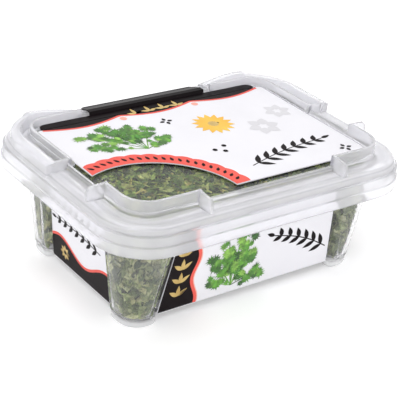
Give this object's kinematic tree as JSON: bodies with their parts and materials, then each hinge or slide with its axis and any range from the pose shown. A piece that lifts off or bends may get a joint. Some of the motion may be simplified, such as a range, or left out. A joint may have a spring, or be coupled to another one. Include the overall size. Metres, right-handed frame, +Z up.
{
  "type": "lidded dried herb tub",
  "caption": "Low rectangular clear plastic tub with a lift-off lid, printed labels, corner feet and stacking ribs, filled with dried parsley flakes.",
  "frame": {"origin": "centre of the footprint, on the plane the four feet stand on", "axes": "+Z up, +X along the long side, -Y out of the front wall, +Y out of the back wall, on whose side the seal's tab is"},
  "size_m": [0.102, 0.0748, 0.0405],
  "materials": {
    "clear_tub": "clear, slightly milky polypropylene",
    "clear_lid": "clear, slightly milky polypropylene",
    "dried_leaf": "dry matte leaf",
    "printed_film": "satin print",
    "black_film": "satin print"
  },
  "bodies": {
    "root": {"tub": "clear_tub", "lid": "clear_lid", "parsley_flakes": "dried_leaf", "lid_label": "printed_film", "seal": "black_film", "label_front": "printed_film", "label_right": "printed_film", "label_back": "printed_film", "label_left": "printed_film"}
  },
  "joints": []
}
